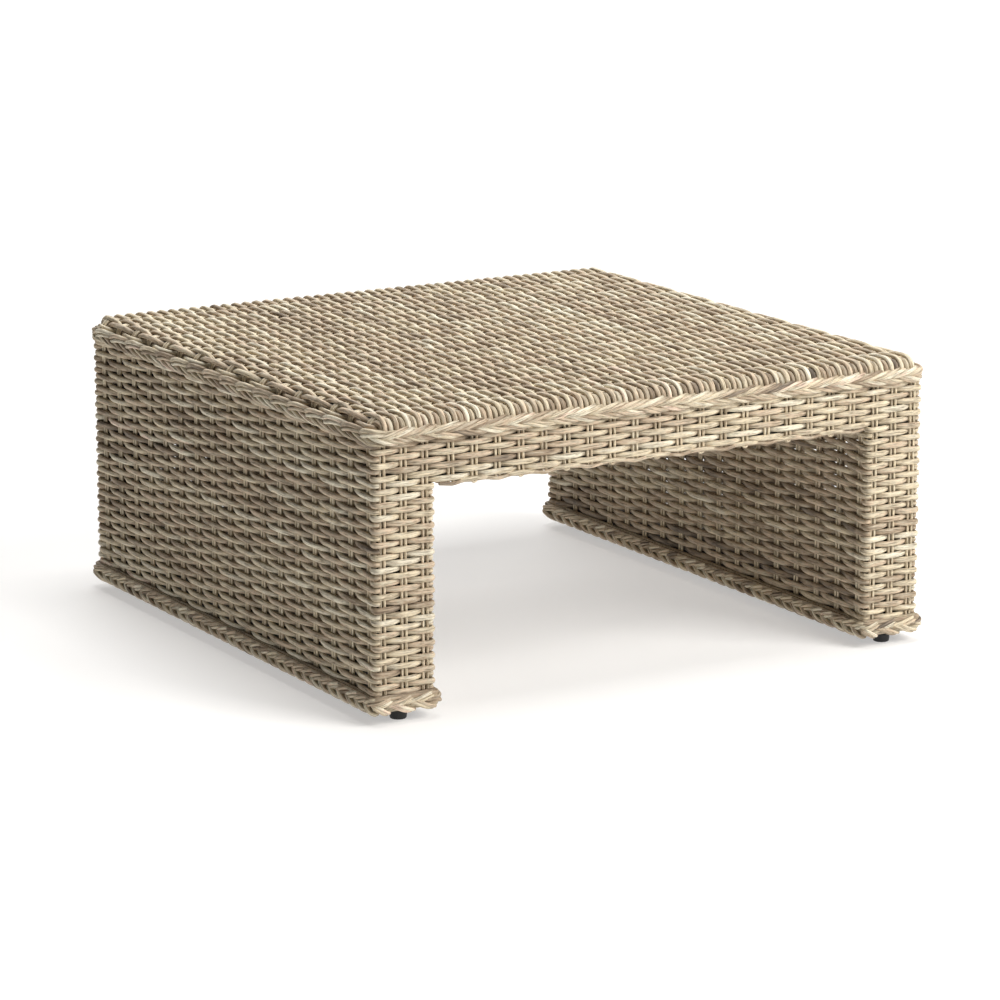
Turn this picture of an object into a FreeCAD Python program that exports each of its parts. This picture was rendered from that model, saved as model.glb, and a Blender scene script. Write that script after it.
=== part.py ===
import FreeCAD, Part
import Sketcher
import os

# Square wicker coffee table: two slab legs as deep as the table, a woven top
# with a plaited border, two shallow aprons, a welded tube frame inside and
# four screw-in levelling glides.  Millimetres, +Z up, origin on the floor
# under the middle of the table, front face towards -Y.

V = FreeCAD.Vector
doc = FreeCAD.newDocument("wicker_coffee_table")

# ---------------------------------------------------------------- dimensions
sheet = doc.addObject("Spreadsheet::Sheet", "Params")
PARAMS = [
    ("overall", 914.0),          # width and depth over the woven walls
    ("overall_height", 432.0),   # floor to the woven top
    ("leg_width", 95.4),         # width of a slab leg
    ("skin", 20.4),              # thickness of the weave, two strands and a stake
    ("corner_round", 12.0),      # vertical corners of the legs
    ("braid_low", 15.0),         # underside of the bottom braids
    ("braid_height", 25.0),
    ("braid_flare", 10.0),       # how far a bottom braid stands out of the leg
    ("braid_depth", 12.5),       # how far it reaches in under the weave
    ("border_low", 393.0),       # underside of the border braid of the top
    ("border_height", 22.0),
    ("border_flare", 9.0),
    ("border_gap", 0.1),
    ("lid_low", 386.0),          # lower edge of the turned-down top strands
    ("edge_roll", 18.0),         # radius that the top strands roll over
    ("lid_corner", 20.0),
    ("apron_low", 329.0),        # lower edge of the aprons
    ("apron_roll", 8.0),
    ("tube", 25.0),              # square frame tube
    ("tube_wall", 1.5),
    ("apron_rail_low", 332.0),
    ("apron_upper_low", 359.2),
    ("bearer_pitch", 190.0),     # spacing of the three bearers under the top
    ("stake_dia", 4.4),
    ("stake_pair", 7.8),         # centre distance of the two stakes of a pair
    ("slot_long", 12.6),         # passage of a stake pair through the weave
    ("slot_thick", 4.6),
    ("side_pitch", 53.5),        # stake pairs along the depth
    ("side_count", 17.0),
    ("front_pitch", 33.4),       # stake pairs across the front of a leg
    ("front_count", 3.0),
    ("apron_pitch", 37.25),      # stake pairs along an apron
    ("apron_count", 19.0),
    ("foot_inset", 25.0),        # foot centre from the front or rear face
    ("pad_radius", 12.5),
    ("pad_height", 13.0),
    ("stud_radius", 4.0),
    ("stud_top", 37.0),
    ("head_radius", 7.0),
    ("head_low", 3.5),
    ("head_thick", 3.0),
    ("cavity_gap", 0.3),
    ("thread_gap", 0.05),
    ("insert_radius", 5.5),
    ("insert_flange", 8.0),
    ("insert_flange_thick", 1.5),
    ("insert_top", 33.0),
]
VAL = {}
for i, (alias, value) in enumerate(PARAMS, 1):
    sheet.set("A%d" % i, alias)
    sheet.set("B%d" % i, repr(value))
    sheet.setAlias("B%d" % i, alias)
    VAL[alias] = value
doc.recompute()

PARTS = []


def num(expr):
    """Value of an expression written with the sheet's aliases, numbers,
    + - * / and brackets."""
    words = expr
    for mark in "+-*/()":
        words = words.replace(mark, " " + mark + " ")
    tokens = words.split()

    def atom():
        tok = tokens.pop(0)
        if tok == "-":
            return -atom()
        if tok == "(":
            value = total()
            tokens.pop(0)
            return value
        if tok.startswith("Params."):
            return VAL[tok[7:]]
        return float(tok)

    def product():
        value = atom()
        while tokens and tokens[0] in "*/":
            if tokens.pop(0) == "*":
                value *= atom()
            else:
                value /= atom()
        return value

    def total():
        value = product()
        while tokens and tokens[0] in "+-":
            if tokens.pop(0) == "+":
                value += product()
            else:
                value -= product()
        return value
    return total()


def origin_feature(body, role):
    for f in body.Origin.OriginFeatures:
        if f.Role == role:
            return f
    raise RuntimeError("no origin feature " + role)


def new_body(label):
    body = doc.addObject("PartDesign::Body", "Body_" + label)
    body.Label = label
    return body


def new_sketch(body, name, role="XY_Plane"):
    sk = body.newObject("Sketcher::SketchObject", name)
    sk.AttachmentSupport = [(origin_feature(body, role), "")]
    sk.MapMode = "FlatFace"
    return sk


def add_rect(sk, tag, x0, y0, x1, y1):
    """Rectangle whose corner distances from the sketch origin are bound to
    the sheet; every argument is an expression with a positive value."""
    a, b, c, d = num(x0), num(y0), num(x1), num(y1)
    g = sk.GeometryCount
    pts = [V(a, b, 0), V(c, b, 0), V(c, d, 0), V(a, d, 0)]
    for i in range(4):
        sk.addGeometry(Part.LineSegment(pts[i], pts[(i + 1) % 4]), False)
    con = Sketcher.Constraint
    for i in range(4):
        sk.addConstraint(con("Coincident", g + i, 2, g + (i + 1) % 4, 1))
    sk.addConstraint(con("Horizontal", g))
    sk.addConstraint(con("Vertical", g + 1))
    sk.addConstraint(con("Horizontal", g + 2))
    sk.addConstraint(con("Vertical", g + 3))
    for word, kind, geo, pos, expr, value in (
            ("left", "DistanceX", g, 1, x0, a), ("low", "DistanceY", g, 1, y0, b),
            ("right", "DistanceX", g + 2, 1, x1, c), ("high", "DistanceY", g + 2, 1, y1, d)):
        if abs(value) < 1e-9:
            sk.addConstraint(con("PointOnObject", geo, pos, -2 if kind == "DistanceX" else -1))
            continue
        idx = sk.addConstraint(con(kind, -1, 1, geo, pos, value))
        sk.renameConstraint(idx, tag + "_" + word)
        sk.setExpression("Constraints." + tag + "_" + word, expr)


def place(obj, x, y, z, rotation=None):
    if rotation is not None:
        obj.Placement = FreeCAD.Placement(V(0, 0, 0), rotation)
    for axis, expr in (("x", x), ("y", y), ("z", z)):
        obj.setExpression("Placement.Base." + axis, expr)


def pad(body, sk, length, name="Pad"):
    feat = body.newObject("PartDesign::Pad", name)
    feat.Profile = sk
    feat.Length = num(length)
    feat.setExpression("Length", length)
    body.Tip = feat
    doc.recompute()
    return feat


def pocket(body, sk, name, length=None):
    """Pocket that is turned round if it points away from the solid."""
    before = body.Shape.Volume
    feat = body.newObject("PartDesign::Pocket", name)
    feat.Profile = sk
    if length is None:
        feat.Type = 1
    else:
        feat.Length = num(length)
        feat.setExpression("Length", length)
    body.Tip = feat
    doc.recompute()
    if "Invalid" in feat.State or before - body.Shape.Volume < 1.0:
        feat.Reversed = True
        doc.recompute()
    if before - body.Shape.Volume < 1.0:
        raise RuntimeError("pocket cuts nothing: " + name)
    return feat


def pattern(body, feat, role, pitch, count, name):
    before = body.Shape.Volume
    pat = body.newObject("PartDesign::LinearPattern", name)
    pat.Originals = [feat]
    pat.Direction = (origin_feature(body, role), [""])
    pat.Occurrences = int(round(num(count)))
    pat.Length = num(pitch) * (pat.Occurrences - 1)
    pat.setExpression("Occurrences", count)
    pat.setExpression("Length", "%s * (%s - 1)" % (pitch, count))
    body.Tip = pat
    doc.recompute()
    if before - body.Shape.Volume < 1.0:
        pat.Reversed = True
        doc.recompute()
    if before - body.Shape.Volume < 1.0:
        raise RuntimeError("pattern cuts nothing: " + name)
    return pat


def fillet(body, base, chooser, radius, name="Fillet"):
    edges = []
    for i, edge in enumerate(base.Shape.Edges, 1):
        if chooser(edge):
            edges.append("Edge%d" % i)
    feat = body.newObject("PartDesign::Fillet", name)
    feat.Base = (base, edges)
    feat.Radius = num(radius)
    feat.setExpression("Radius", radius)
    body.Tip = feat
    doc.recompute()
    return feat


def is_vertical(edge):
    b = edge.BoundBox
    return b.XLength < 1e-4 and b.YLength < 1e-4 and b.ZLength > 1.0


def keep(obj):
    PARTS.append(obj)
    return obj


P = "Params."
HALF = "Params.overall / 2"
CYC_X = FreeCAD.Rotation(V(1, 1, 1), 120)    # local Z runs along X
CYC_Y = FreeCAD.Rotation(V(1, 1, 1), 240)    # local Z runs along Y


# -------------------------------------------------------------- frame tubes
def tube(label, axis, length, x, y, z, hole=None):
    """Square tube along one axis; x, y, z place its lowest corner.  hole is
    the distance along the tube of a round hole through its lower wall."""
    body = new_body(label)
    sk = new_sketch(body, "Section_" + label)
    add_rect(sk, "outer", "0", "0", P + "tube", P + "tube")
    add_rect(sk, "inner", P + "tube_wall", P + "tube_wall",
             P + "tube - " + P + "tube_wall", P + "tube - " + P + "tube_wall")
    pad(body, sk, length, "Tube_" + label)
    if hole is not None:
        # the lower wall of a tube along X lies in the local XZ plane
        hs = new_sketch(body, "Hole_" + label, "XZ_Plane")
        cx, cz = num(P + "tube / 2"), num(hole)
        hs.addGeometry(Part.Circle(V(cx, cz, 0), V(0, 0, 1), num(P + "insert_radius")), False)
        con = Sketcher.Constraint
        k = hs.addConstraint(con("Radius", 0, num(P + "insert_radius")))
        hs.renameConstraint(k, "hole_radius")
        hs.setExpression("Constraints.hole_radius", P + "insert_radius")
        k = hs.addConstraint(con("DistanceX", -1, 1, 0, 3, cx))
        hs.renameConstraint(k, "hole_across")
        hs.setExpression("Constraints.hole_across", P + "tube / 2")
        k = hs.addConstraint(con("DistanceY", -1, 1, 0, 3, cz))
        hs.renameConstraint(k, "hole_along")
        hs.setExpression("Constraints.hole_along", hole)
        pocket(body, hs, "HolePocket_" + label, P + "tube_wall + 2")
    place(body, x, y, z, {"X": CYC_X, "Y": CYC_Y, "Z": None}[axis])
    return keep(body)


IN = HALF + " - " + P + "skin"                       # inner side of the outer weave
LEG_IN = HALF + " - " + P + "leg_width + " + P + "skin"
TOP_Z = P + "overall_height - " + P + "skin - " + P + "tube - 0.2"


def neg(expr):
    return "-(" + expr + ")"


# perimeter rails of the top, under the woven top
tube("top_rail_front", "X", "Params.overall - 2 * Params.skin",
     "Params.skin - Params.overall / 2", "Params.skin - Params.overall / 2", TOP_Z)
tube("top_rail_rear", "X", "Params.overall - 2 * Params.skin",
     "Params.skin - Params.overall / 2", IN + " - Params.tube", TOP_Z)
SIDE_LEN = "Params.overall - 2 * Params.skin - 2 * Params.tube"
SIDE_Y = "Params.skin + Params.tube - Params.overall / 2"
tube("top_rail_left", "Y", SIDE_LEN, "Params.skin - Params.overall / 2", SIDE_Y, TOP_Z)
tube("top_rail_right", "Y", SIDE_LEN, IN + " - Params.tube", SIDE_Y, TOP_Z)
# bearers that run from the front rail to the rear rail
INNER_X = "Params.leg_width - Params.skin - Params.tube - Params.overall / 2"
INNER_XR = "Params.overall / 2 - Params.leg_width + Params.skin"
tube("leg_bearer_left", "Y", SIDE_LEN, INNER_X, SIDE_Y, TOP_Z)
tube("leg_bearer_right", "Y", SIDE_LEN, INNER_XR, SIDE_Y, TOP_Z)
tube("top_bearer_left", "Y", SIDE_LEN, "-Params.bearer_pitch - Params.tube / 2", SIDE_Y, TOP_Z)
tube("top_bearer_center", "Y", SIDE_LEN, "-Params.tube / 2", SIDE_Y, TOP_Z)
tube("top_bearer_right", "Y", SIDE_LEN, "Params.bearer_pitch - Params.tube / 2", SIDE_Y, TOP_Z)
# lower rails of the aprons, from leg post to leg post
APRON_LEN = "Params.overall - 2 * Params.leg_width + 2 * Params.skin"
APRON_X = "Params.leg_width - Params.skin - Params.overall / 2"
tube("apron_rail_front", "X", APRON_LEN, APRON_X, "Params.skin - Params.overall / 2",
     "Params.apron_rail_low")
tube("apron_rail_rear", "X", APRON_LEN, APRON_X, IN + " - Params.tube", "Params.apron_rail_low")
# upper rails of the aprons, between the legs' inner walls
UPPER_LEN = "Params.overall - 2 * Params.leg_width"
UPPER_X = "Params.leg_width - Params.overall / 2"
tube("apron_upper_rail_front", "X", UPPER_LEN, UPPER_X, "Params.skin - Params.overall / 2",
     "Params.apron_upper_low")
tube("apron_upper_rail_rear", "X", UPPER_LEN, UPPER_X, IN + " - Params.tube",
     "Params.apron_upper_low")
# posts of the legs
POST_LEN = "Params.overall_height - Params.skin - Params.tube - 0.2 - Params.braid_low - Params.tube"
POST_Z = "Params.braid_low + Params.tube"
for side, outer_x, inner_x in (("left", "Params.skin - Params.overall / 2", INNER_X),
                               ("right", IN + " - Params.tube", INNER_XR)):
    for end, y in (("front", "Params.skin - Params.overall / 2"),
                   ("rear", IN + " - Params.tube")):
        tube("%s_leg_%s_outer_post" % (side, end), "Z", POST_LEN, outer_x, y, POST_Z)
        tube("%s_leg_%s_inner_post" % (side, end), "Z", POST_LEN, inner_x, y, POST_Z)
# bottom frames of the legs: two long rails and two short cross bars
BAR_LEN = "Params.leg_width - 2 * Params.braid_depth"
LOW_LEN = "Params.overall - 2 * Params.braid_depth - 2 * Params.tube"
LOW_Y = "Params.braid_depth + Params.tube - Params.overall / 2"
for side, x_out, x_in, x_bar in (
        ("left", "Params.braid_depth - Params.overall / 2",
         "Params.leg_width - Params.braid_depth - Params.tube - Params.overall / 2",
         "Params.braid_depth - Params.overall / 2"),
        ("right", "Params.overall / 2 - Params.braid_depth - Params.tube",
         "Params.overall / 2 - Params.leg_width + Params.braid_depth",
         "Params.overall / 2 - Params.leg_width + Params.braid_depth")):
    tube("%s_leg_outer_rail" % side, "Y", LOW_LEN, x_out, LOW_Y, "Params.braid_low")
    tube("%s_leg_inner_rail" % side, "Y", LOW_LEN, x_in, LOW_Y, "Params.braid_low")
    tube("%s_leg_front_bar" % side, "X", BAR_LEN, x_bar,
         "Params.braid_depth - Params.overall / 2", "Params.braid_low",
         hole="Params.leg_width / 2 - Params.braid_depth")
    tube("%s_leg_rear_bar" % side, "X", BAR_LEN, x_bar,
         "Params.overall / 2 - Params.braid_depth - Params.tube", "Params.braid_low",
         hole="Params.leg_width / 2 - Params.braid_depth")


# ---------------------------------------------------------------- leg weave
def leg_weave(side):
    """Woven sleeve of a leg: a ring as thick as the weave, with a passage for
    each stake pair and a notch where the apron rails pass the inner wall."""
    label = side + "_leg_weave"
    body = new_body(label)
    sk = new_sketch(body, "Ring_" + side)
    add_rect(sk, "outer", "0", "0", "Params.leg_width", "Params.overall")
    add_rect(sk, "inner", "Params.skin", "Params.skin",
             "Params.leg_width - Params.skin", "Params.overall - Params.skin")
    base = pad(body, sk, "Params.lid_low - Params.braid_low - Params.braid_height", "Wall_" + side)
    w, d = VAL["leg_width"], VAL["overall"]

    def outer_corner(edge):
        if not is_vertical(edge):
            return False
        p = edge.CenterOfMass
        return min(p.x, w - p.x) < 0.01 and min(p.y, d - p.y) < 0.01
    fillet(body, base, outer_corner, "Params.corner_round", "Corner_" + side)
    mid = "Params.skin / 2"
    half_t = "Params.slot_thick / 2"
    half_l = "Params.slot_long / 2"
    first = "Params.overall / 2 - 8 * Params.side_pitch"
    for tag, x0, x1 in (
            ("low", mid + " - " + half_t, mid + " + " + half_t),
            ("high", "Params.leg_width - " + mid + " - " + half_t,
             "Params.leg_width - " + mid + " + " + half_t)):
        s = new_sketch(body, "SideSlot_%s_%s" % (tag, side))
        add_rect(s, "slot", x0, first + " - " + half_l, x1, first + " + " + half_l)
        f = pocket(body, s, "SideSlotPocket_%s_%s" % (tag, side))
        pattern(body, f, "Y_Axis", "Params.side_pitch", "Params.side_count",
                "SideSlots_%s_%s" % (tag, side))
    first_x = "Params.leg_width / 2 - Params.front_pitch"
    for tag, y0, y1 in (
            ("front", mid + " - " + half_t, mid + " + " + half_t),
            ("rear", "Params.overall - " + mid + " - " + half_t,
             "Params.overall - " + mid + " + " + half_t)):
        s = new_sketch(body, "EndSlot_%s_%s" % (tag, side))
        add_rect(s, "slot", first_x + " - " + half_l, y0, first_x + " + " + half_l, y1)
        f = pocket(body, s, "EndSlotPocket_%s_%s" % (tag, side))
        pattern(body, f, "X_Axis", "Params.front_pitch", "Params.front_count",
                "EndSlots_%s_%s" % (tag, side))
    # notches for the apron rails, cut from above the wall downwards
    x0, x1 = (("Params.leg_width - Params.skin", "Params.leg_width + 1")
              if side == "left" else ("0", "Params.skin"))
    low = "Params.apron_rail_low - Params.braid_low - Params.braid_height"
    for tag, y0, y1 in (("front", "Params.skin", "Params.skin + Params.tube"),
                        ("rear", "Params.overall - Params.skin - Params.tube",
                         "Params.overall - Params.skin")):
        s = new_sketch(body, "Notch_%s_%s" % (tag, side))
        s.AttachmentOffset = FreeCAD.Placement(V(0, 0, num(low)), FreeCAD.Rotation())
        s.setExpression("AttachmentOffset.Base.z", low)
        add_rect(s, "notch", x0, y0, x1, y1)
        before = body.Shape.Volume
        f = body.newObject("PartDesign::Pocket", "NotchPocket_%s_%s" % (tag, side))
        f.Profile = s
        f.Reversed = True
        f.Length = num("Params.tube")
        f.setExpression("Length", "Params.tube")
        body.Tip = f
        doc.recompute()
        if before - body.Shape.Volume < 100.0:
            raise RuntimeError("notch cuts nothing")
    x = "-Params.overall / 2" if side == "left" else "Params.overall / 2 - Params.leg_width"
    place(body, x, "-Params.overall / 2", "Params.braid_low + Params.braid_height")
    return keep(body)


leg_weave("left")
leg_weave("right")


# -------------------------------------------------------------- apron weave
def apron_weave(label, y):
    """Woven strip under the top between the legs, its lower edge rolled."""
    body = new_body(label)
    sk = new_sketch(body, "Strip_" + label)
    add_rect(sk, "strip", "0", "0", "Params.overall - 2 * Params.leg_width", "Params.skin")
    base = pad(body, sk, "Params.lid_low - Params.apron_low", "StripPad_" + label)

    def low_long(edge):
        b = edge.BoundBox
        return b.ZMax < 0.01 and b.XLength > 100
    fillet(body, base, low_long, "Params.apron_roll", "Roll_" + label)
    first = "Params.overall / 2 - Params.leg_width - 9 * Params.apron_pitch"
    s = new_sketch(body, "Slot_" + label)
    add_rect(s, "slot", first + " - Params.slot_long / 2", "Params.skin / 2 - Params.slot_thick / 2",
             first + " + Params.slot_long / 2", "Params.skin / 2 + Params.slot_thick / 2")
    f = pocket(body, s, "SlotPocket_" + label)
    pattern(body, f, "X_Axis", "Params.apron_pitch", "Params.apron_count", "Slots_" + label)
    place(body, "Params.leg_width - Params.overall / 2", y, "Params.apron_low")
    return keep(body)


apron_weave("front_apron_weave", "-Params.overall / 2")
apron_weave("rear_apron_weave", "Params.overall / 2 - Params.skin")


# ------------------------------------------------------------------ woven top
def top_weave():
    """Woven top with its strands rolled over and turned down all round."""
    body = new_body("top_weave")
    sk = new_sketch(body, "Top_outline")
    add_rect(sk, "outline", "0", "0", "Params.overall", "Params.overall")
    base = pad(body, sk, "Params.overall_height - Params.lid_low", "Top_block")
    c = fillet(body, base, is_vertical, "Params.lid_corner", "Top_corners")
    height = num("Params.overall_height - Params.lid_low")

    def top_edge(edge):
        return edge.BoundBox.ZMin > height - 0.01
    fillet(body, c, top_edge, "Params.edge_roll", "Top_roll")
    s = new_sketch(body, "Top_inside")
    add_rect(s, "inside", "Params.skin", "Params.skin",
             "Params.overall - Params.skin", "Params.overall - Params.skin")
    pocket(body, s, "Top_inside_pocket",
           "Params.overall_height - Params.skin - 0.2 - Params.lid_low")
    # passages of the stake pairs along X, cut from the left end
    zc = "Params.overall_height - Params.lid_low - Params.skin / 2"
    first = "Params.overall / 2 - 8 * Params.side_pitch"
    s = new_sketch(body, "Top_slot", "YZ_Plane")
    add_rect(s, "slot", first + " - Params.slot_long / 2", zc + " - Params.slot_thick / 2",
             first + " + Params.slot_long / 2", zc + " + Params.slot_thick / 2")
    f = pocket(body, s, "Top_slot_pocket")
    pattern(body, f, "Y_Axis", "Params.side_pitch", "Params.side_count", "Top_slots")
    place(body, "-Params.overall / 2", "-Params.overall / 2", "Params.lid_low")
    return keep(body)


top_weave()


# -------------------------------------------------------------------- braids
def braid(label, width, depth, wall, height, x, y, z, round_plan, round_edge, inner_round):
    """Plaited ring with softened outer edges."""
    body = new_body(label)
    sk = new_sketch(body, "Outline_" + label)
    add_rect(sk, "outer", "0", "0", width, depth)
    add_rect(sk, "inner", wall, wall, "%s - (%s)" % (width, wall), "%s - (%s)" % (depth, wall))
    base = pad(body, sk, height, "Ring_" + label)
    w, d, t = num(width), num(depth), num(wall)
    zl = num(height)

    def corner_distance(edge):
        p = edge.CenterOfMass
        return max(min(p.x, w - p.x), min(p.y, d - p.y))

    def outer_corner(edge):
        return is_vertical(edge) and corner_distance(edge) < 0.01

    def inner_corner(edge):
        return is_vertical(edge) and abs(corner_distance(edge) - t) < 0.01
    c = fillet(body, base, outer_corner, round_plan, "Plan_" + label)
    if inner_round is not None:
        c = fillet(body, c, inner_corner, inner_round, "InnerPlan_" + label)
    r = num(round_plan)

    def outer_loop(edge):
        b = edge.BoundBox
        if b.ZLength > 1e-3 or not (b.ZMax < 0.01 or b.ZMin > zl - 0.01):
            return False
        p = edge.valueAt(0.5 * (edge.FirstParameter + edge.LastParameter))
        ex, ey = min(p.x, w - p.x), min(p.y, d - p.y)
        if ex < 0.01 or ey < 0.01:
            return True
        # arcs at the outer corners lie on a circle of the plan radius
        return ex < r and ey < r and abs(((r - ex) ** 2 + (r - ey) ** 2) ** 0.5 - r) < 0.01
    fillet(body, c, outer_loop, round_edge, "Edge_" + label)
    place(body, x, y, z)
    return keep(body)


OUT = "Params.overall + 2 * Params.border_flare"
braid("top_border_braid", OUT, OUT, "Params.border_flare - Params.border_gap",
      "Params.border_height", "-Params.overall / 2 - Params.border_flare",
      "-Params.overall / 2 - Params.border_flare", "Params.border_low",
      "Params.corner_round + Params.border_flare", "4", "Params.corner_round")
for side in ("left", "right"):
    x = ("-Params.overall / 2 - Params.braid_flare" if side == "left"
         else "Params.overall / 2 - Params.leg_width - Params.braid_flare")
    braid(side + "_bottom_braid", "Params.leg_width + 2 * Params.braid_flare",
          "Params.overall + 2 * Params.braid_flare", "Params.braid_flare + Params.braid_depth",
          "Params.braid_height", x, "-Params.overall / 2 - Params.braid_flare", "Params.braid_low",
          "Params.corner_round + Params.braid_flare", "6", None)


# -------------------------------------------------------------------- stakes
def value(alias):
    return float(sheet.get(alias))


def group(label, rods):
    """Straight round stakes as separate solids of one group."""
    obj = doc.addObject("Part::Feature", "Group_" + label)
    obj.Label = label
    r = value("stake_dia") / 2
    obj.Shape = Part.makeCompound([Part.makeCylinder(r, length, V(*p), V(*way))
                                   for p, way, length in rods])
    obj.Placement = FreeCAD.Placement()
    return keep(obj)


half = value("overall") / 2
legw = value("leg_width")
mid = value("skin") / 2
gap = value("stake_pair") / 2
low = value("braid_low") + value("braid_height") + 0.2
high = value("lid_low")
rail = value("apron_rail_low")
n_side = int(value("side_count"))
n_front = int(value("front_count"))
n_apron = int(value("apron_count"))
side_y = [value("side_pitch") * (j - (n_side - 1) / 2.0) for j in range(n_side)]
front_x = [value("front_pitch") * (k - (n_front - 1) / 2.0) for k in range(n_front)]
for side, sign in (("left", -1.0), ("right", 1.0)):
    rods = []
    for j, y in enumerate(side_y):
        for s in (-gap, gap):
            rods.append(((sign * (half - mid), y + s, low), (0, 0, 1), high - low))
            top = rail - 0.2 if j in (0, n_side - 1) else high
            rods.append(((sign * (half - legw + mid), y + s, low), (0, 0, 1), top - low))
    for x in front_x:
        for s in (-gap, gap):
            for y in (-half + mid, half - mid):
                rods.append(((sign * (half - legw / 2) + x + s, y, low), (0, 0, 1), high - low))
    group(side + "_leg_stakes", rods)
for label, y in (("front_apron_stakes", -half + mid), ("rear_apron_stakes", half - mid)):
    rods = []
    for i in range(n_apron):
        for s in (-gap, gap):
            x = value("apron_pitch") * (i - (n_apron - 1) / 2.0) + s
            z0 = value("apron_low") + 4.0
            rods.append(((x, y, z0), (0, 0, 1), high - z0))
    group(label, rods)
rods = []
zc = value("overall_height") - mid
for y in side_y:
    for s in (-gap, gap):
        rods.append(((-half + 12.0, y + s, zc), (1, 0, 0), 2 * half - 24.0))
group("top_stakes", rods)


# ---------------------------------------------------------- levelling glides
def revolve(body, sk_name, points, dims):
    """Full turn of a closed profile in the XZ plane about Z.  points holds
    (radius, height) pairs as expressions."""
    sk = new_sketch(body, sk_name, "XZ_Plane")
    pts = [V(num(a), num(b), 0) for a, b in points]
    n = len(pts)
    con = Sketcher.Constraint
    for i in range(n):
        sk.addGeometry(Part.LineSegment(pts[i], pts[(i + 1) % n]), False)
    for i in range(n):
        sk.addConstraint(con("Coincident", i, 2, (i + 1) % n, 1))
    for i, (a, b) in enumerate(points):
        for word, kind, expr, v in (("r", "DistanceX", a, pts[i].x), ("z", "DistanceY", b, pts[i].y)):
            if abs(v) < 1e-9:
                sk.addConstraint(con("PointOnObject", i, 1, -2 if kind == "DistanceX" else -1))
                continue
            k = sk.addConstraint(con(kind, -1, 1, i, 1, v))
            sk.renameConstraint(k, "%s%d" % (word, i))
            sk.setExpression("Constraints.%s%d" % (word, i), expr)
    feat = body.newObject("PartDesign::Revolution", dims)
    feat.Profile = sk
    feat.ReferenceAxis = (sk, ["V_Axis"])
    feat.Angle = 360.0
    body.Tip = feat
    doc.recompute()
    return feat


FOOT_X = "Params.overall / 2 - Params.leg_width / 2"
FOOT_Y = "Params.overall / 2 - Params.foot_inset"
for side, sx in (("left", "-"), ("right", "")):
    for end, sy in (("front", "-"), ("rear", "")):
        x = "%s(%s)" % (sx, FOOT_X) if sx else FOOT_X
        y = "%s(%s)" % (sy, FOOT_Y) if sy else FOOT_Y
        tag = "%s_%s" % (end, side)
        # threaded insert in the lower wall of the cross bar
        body = new_body("insert_" + tag)
        bore = "Params.stud_radius + Params.thread_gap"
        fl = "Params.braid_low - Params.insert_flange_thick"
        revolve(body, "InsertProfile_" + tag, [
            (bore, fl), ("Params.insert_flange", fl), ("Params.insert_flange", "Params.braid_low"),
            ("Params.insert_radius", "Params.braid_low"),
            ("Params.insert_radius", "Params.insert_top"), (bore, "Params.insert_top")],
            "InsertTurn_" + tag)
        place(body, x, y, "0")
        keep(body)
        # threaded stud with the round head that turns in the pad
        body = new_body("foot_stud_" + tag)
        ht = "Params.head_low + Params.head_thick"
        revolve(body, "StudProfile_" + tag, [
            ("0", "Params.head_low"), ("Params.head_radius", "Params.head_low"),
            ("Params.head_radius", ht), ("Params.stud_radius", ht),
            ("Params.stud_radius", "Params.stud_top - 1"),
            ("Params.stud_radius - 1", "Params.stud_top"), ("0", "Params.stud_top")],
            "StudTurn_" + tag)
        place(body, x, y, "0")
        keep(body)
        # moulded pad with the pocket that holds the stud's head
        body = new_body("foot_pad_" + tag)
        c0 = "Params.head_low - Params.cavity_gap"
        c1 = ht + " + Params.cavity_gap"
        cr = "Params.head_radius + Params.cavity_gap"
        nr = "Params.stud_radius + Params.cavity_gap"
        revolve(body, "PadProfile_" + tag, [
            ("0", "0"), ("Params.pad_radius - 1", "0"), ("Params.pad_radius", "1"),
            ("Params.pad_radius", "Params.pad_height - 1"),
            ("Params.pad_radius - 1", "Params.pad_height"), (nr, "Params.pad_height"),
            (nr, c1), (cr, c1), (cr, c0), ("0", c0)],
            "PadTurn_" + tag)
        place(body, x, y, "0")
        keep(body)

# --------------------------------------------------------------------- write
doc.recompute()
bad = []
for obj in doc.Objects:
    if "Invalid" in obj.State or "Error" in obj.State:
        bad.append("%s: %s" % (obj.Name, obj.State))
for obj in PARTS:
    if obj.Shape.isNull() or not obj.Shape.isValid():
        bad.append(obj.Label + ": shape is null or not valid")
    elif obj.Shape.Volume <= 0:
        bad.append(obj.Label + ": no volume")
labels = [obj.Label for obj in PARTS]
if len(set(labels)) != len(labels):
    bad.append("labels are not unique")
if bad:
    raise RuntimeError("; ".join(bad))
os.makedirs("parts", exist_ok=True)
for obj in PARTS:
    obj.Shape.exportStep("parts/%s.step" % obj.Label)
total = FreeCAD.BoundBox()
for obj in PARTS:
    total.add(obj.Shape.BoundBox)
print("%d sub-parts, box %.2f x %.2f x %.2f, low %.3f" % (
    len(PARTS), total.XLength, total.YLength, total.ZLength, total.ZMin))
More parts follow.
